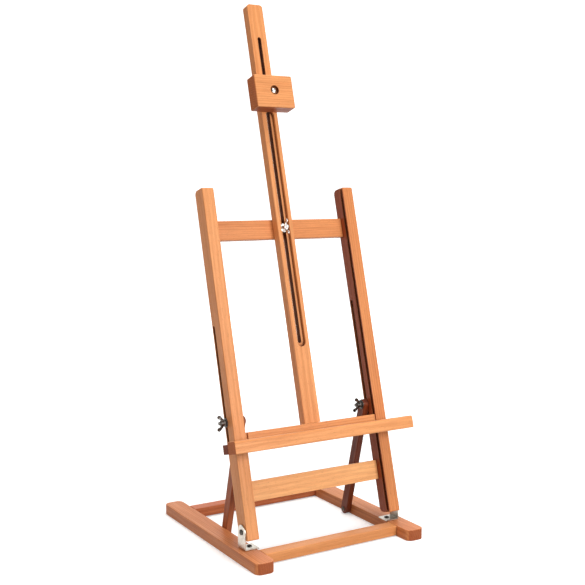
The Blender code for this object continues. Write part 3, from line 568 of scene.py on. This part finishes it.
def flat_washer(node, origin, along, material):
    """A punched washer: its upper edge is rolled over and its lower one is sharp."""
    inner = WASHER_BORE / 2
    outer = WASHER_DIAMETER / 2
    top = WASHER_THICKNESS
    roll = 0.0005
    profile = [(inner, 0.0), (outer, 0.0), (outer, top - roll)]
    profile += arc((outer - roll, top - roll), roll, 0.0, math.pi / 2, 4)[1:]
    profile += [(inner + roll * 0.6, top), (inner, top - roll * 0.6)]
    piece = add_piece(f"{node}_fine", turned(profile, sides=64, closed=True))
    fitting(piece, node, origin, along, material=material)


def wing_nut(node, origin, along, across, material):
    """A cast wing nut: a waisted hub with a collar, and two swept wings that swell at their rims."""
    collar = 0.0012
    chamfer = 0.0003
    fillet = 0.0012
    waist = NUT_TOP_RADIUS * 0.96
    profile = [(0.0, 0.0), (NUT_BASE_RADIUS - chamfer, 0.0)]
    profile += [(NUT_BASE_RADIUS, chamfer), (NUT_BASE_RADIUS, collar)]
    profile += arc((NUT_BASE_RADIUS, collar + fillet), fillet, -math.pi / 2, -math.pi, 5)[1:]
    bevel = 0.0006
    profile += [(waist, NUT_HEIGHT * 0.6), (waist, NUT_HEIGHT - bevel)]
    profile += [(waist - bevel, NUT_HEIGHT), (0.0, NUT_HEIGHT)]
    piece = add_piece(f"{node}_fine", turned(profile))

    root = NUT_TOP_RADIUS * 0.5
    tip_middle = (WING_REACH - WING_TIP_RADIUS, WING_TIP_HEIGHT)
    underside = [(root, NUT_HEIGHT * 0.22), (NUT_BASE_RADIUS * 1.05, NUT_HEIGHT * 0.30)]
    underside += [(NUT_BASE_RADIUS * 1.45, NUT_HEIGHT * 0.56)]
    tip = arc(tip_middle, WING_TIP_RADIUS, -math.pi / 3, math.pi * 0.85, 16)
    topside = [(NUT_TOP_RADIUS * 1.30, NUT_HEIGHT * 0.98), (root, NUT_HEIGHT * 0.88)]
    thick = WING_THICKNESS / 2
    for side in (1, -1):
        outline = [(side * x, z) for x, z in underside + tip + topside]
        combine(piece, add_piece("wing", prism(outline, -thick, thick)), "UNION")
    remesh = piece.modifiers.new("remesh", "REMESH")
    remesh.mode = "VOXEL"
    remesh.voxel_size = 0.00028
    rounding = piece.modifiers.new("rounding", "SMOOTH")
    rounding.factor = 0.5
    rounding.iterations = 7
    settle(piece)
    # The wings are dished: thinner in their middles than at their rims.
    for vertex in piece.data.vertices:
        x, y, z = vertex.co
        outward = math.hypot(abs(x) - tip_middle[0], z - tip_middle[1])
        if abs(x) > NUT_BASE_RADIUS * 1.1 and outward < WING_TIP_RADIUS:
            vertex.co.y = y * (0.62 + 0.38 * (outward / WING_TIP_RADIUS) ** 2)
    bore_radius = BOLT_DIAMETER / 2 + 0.0001
    low, high = -0.001, NUT_HEIGHT + 0.001
    bore = [(0.0, low), (bore_radius, low), (bore_radius, high), (0.0, high)]
    combine(piece, add_piece("bore", turned(bore)), "DIFFERENCE")
    fitting(piece, node, origin, along, across, material)


def clamp_set(nodes, joint, grip, head, across=UP_POST, material=None):
    """A bolt, a washer and a wing nut on one joint's axis, measured back from the nut's face."""
    bolt, washer, nut = nodes
    origin = Vector(joint["pos_m"])
    away = Vector(joint["axis"])
    length = grip + NUT_HEIGHT + THREAD_BEYOND_NUT
    machine_bolt(bolt, head, length, origin - grip * away, -away, material)
    flat_washer(washer, origin - (GAP + WASHER_THICKNESS) * away, away, material)
    wing_nut(nut, origin, away, across, material)


def add_fittings():
    joints = {joint["name"]: joint for joint in frame["record"]["behaviour"]["joints"]}
    dome = crown(DOME_HEAD_DIAMETER / 2, DOME_HEAD_HEIGHT, 0.0006)
    pan = crown(BLOCK_HEAD_DIAMETER / 2, BLOCK_HEAD_HEIGHT, 0.0016)
    for clamp, grip, head in (("mast_clamp", MAST_GRIP, dome), ("top_clamp", BLOCK_GRIP, pan)):
        nodes = [f"{clamp}_{kind}" for kind in ("bolt", "washer", "wing_nut")]
        clamp_set(nodes, joints[f"{clamp}_nut_turn"], grip, head)
    for hand, across in (("left", PLUMB), ("right", ALONG_STRUT)):
        nodes = [f"strut_{kind}_{hand}" for kind in ("bolt", "washer", "wing_nut")]
        clamp_set(nodes, joints[f"strut_nut_turn_{hand}"], STRUT_GRIP, dome, across, shaded_steel)

    hinge = Vector(joints["frame_tilt"]["pos_m"])
    for hand, side in SIDES.items():
        outward = side * ACROSS
        low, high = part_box(f"hinge_screw_{hand}")
        outermost = high[0] if side > 0 else low[0]
        seat = Vector((outermost, hinge.y, hinge.z)) - HINGE_SCREW.height * outward
        wood_screw(f"hinge_screw_{hand}", HINGE_SCREW, seat, outward, shaded_steel)

        low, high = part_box(f"bracket_screw_{hand}")
        middle = (Vector(low) + Vector(high)) / 2
        seat = Vector((middle.x, middle.y, high[2] - BRACKET_SCREW.height))
        wood_screw(f"bracket_screw_{hand}", BRACKET_SCREW, seat, PLUMB, shaded_steel)

        low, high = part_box(f"strut_foot_screw_{hand}")
        middle = (Vector(low) + Vector(high)) / 2
        innermost = low[0] if side > 0 else high[0]
        seat = Vector((innermost, middle.y, middle.z)) + FOOT_SCREW.height * outward
        # The foot screws take the dark steel as painted shadow.
        wood_screw(f"strut_foot_screw_{hand}", FOOT_SCREW, seat, -outward, foot_shadow_steel)

        for place, (across, face, length) in SHELF_SCREWS.items():
            seat = hinge + side * across * ACROSS + (face - GAP - HINGE_BACK) * BACK
            seat += (SHELF_SCREW_UP - HINGE_UP) * UP_POST
            flat_screw(f"shelf_{place}_screw_{hand}", length, seat, BACK)


def make_stage():
    """A pale floor that sweeps up into a backdrop behind the easel."""
    mesh = bmesh.new()
    radius = SWEEP_RADIUS
    profile = [(FLOOR_FRONT, 0.0), (FLOOR_BACK, 0.0)]
    for step in range(1, SWEEP_STEPS + 1):
        angle = math.pi / 2 * step / SWEEP_STEPS
        profile.append((FLOOR_BACK + radius * math.sin(angle), radius - radius * math.cos(angle)))
    profile.append((FLOOR_BACK + radius, BACKDROP_TOP))
    sides = (-BACKDROP_HALF_WIDTH, BACKDROP_HALF_WIDTH)
    rows = [[mesh.verts.new((x, y, z)) for y, z in profile] for x in sides]
    for index in range(len(profile) - 1):
        mesh.faces.new((rows[0][index], rows[1][index], rows[1][index + 1], rows[0][index + 1]))
    data = bpy.data.meshes.new("backdrop")
    mesh.to_mesh(data)
    mesh.free()
    data.shade_smooth()
    backdrop = bpy.data.objects.new("backdrop", data)
    bpy.context.scene.collection.objects.link(backdrop)
    backdrop.rotation_euler.z = -math.radians(CAMERA_YAW)
    # Paper that looks white, also in steel, but sends little light back up at the wood.
    graph = Graph("backdrop_paper")
    path = graph.node("ShaderNodeLightPath").outputs
    seen = graph.math("MAXIMUM", path["Is Camera Ray"], path["Is Glossy Ray"])
    shade = graph.span(seen, 0.0, 1.0, 0.30, 0.80)
    graph.feed(graph.shader.inputs["Base Color"], graph.grey(shade))
    graph.shader.inputs["Roughness"].default_value = 0.9
    graph.shader.inputs["Emission Color"].default_value = (1, 1, 1, 1)
    place = graph.node("ShaderNodeTexCoord").outputs["Object"]
    distance = graph.node("ShaderNodeVectorMath", {0: place}, operation="LENGTH").outputs["Value"]
    glow = graph.span(distance, 0.5, 2.2, 0.35, 0.95)
    graph.feed(graph.shader.inputs["Emission Strength"], graph.math("MULTIPLY", seen, glow))
    data.materials.append(graph.material)


def area_light(name, lamp):
    light = bpy.data.lights.new(name, "AREA")
    light.shape = "RECTANGLE"
    light.size = lamp.size
    light.size_y = lamp.size
    light.energy = lamp.power
    light.color = lamp.colour
    holder = bpy.data.objects.new(name, light)
    bpy.context.scene.collection.objects.link(holder)
    holder.visible_camera = False
    holder.visible_glossy = lamp.shines
    holder.location = lamp.place
    holder.rotation_euler = (Vector(lamp.target) - Vector(lamp.place)).to_track_quat("-Z", "Y").to_euler()


def make_lights():
    world = bpy.data.worlds.new("studio")
    bpy.context.scene.world = world
    world.use_nodes = True
    nodes = world.node_tree.nodes
    links = world.node_tree.links
    nodes["Background"].inputs["Color"].default_value = rgba(WHITE)
    # The room is dim, but looks as white as the paper where the backdrop ends.
    strength = nodes.new("ShaderNodeMapRange")
    strength.inputs["To Min"].default_value = ROOM_LIGHT
    strength.inputs["To Max"].default_value = 1.0
    links.new(nodes.new("ShaderNodeLightPath").outputs["Is Camera Ray"], strength.inputs["Value"])
    links.new(strength.outputs["Result"], nodes["Background"].inputs["Strength"])
    for name, lamp in LAMPS.items():
        area_light(name, lamp)


def make_camera():
    data = bpy.data.cameras.new("camera")
    data.sensor_width = SENSOR
    data.lens = LENS
    camera = bpy.data.objects.new("camera", data)
    bpy.context.scene.collection.objects.link(camera)
    camera.location = CAMERA_PLACE
    camera.rotation_euler = (math.radians(90 - CAMERA_PITCH), 0, -math.radians(CAMERA_YAW))
    bpy.context.scene.camera = camera


bpy.context.scene.view_settings.view_transform = "Standard"
body_of = {node: body for body, nodes in frame["record"]["behaviour"]["bodies"].items() for node in nodes}
plated = steel("steel_fittings", seed=2.0)
# Painted shadow: dark steel for the foot screws.
foot_shadow_steel = steel("steel_painted_foot_shadow", FOOT_SHADOW_STEEL, rough=0.38, seed=9.0)
# Painted shade: dark steel for the strut clamps and the hinge and bracket screws.
shaded_steel = steel("steel_painted_shade", SHADED_STEEL, rough=0.30, seed=12.0)
dress_wood()
dress_brackets()
add_fittings()
make_stage()
make_lights()
make_camera()
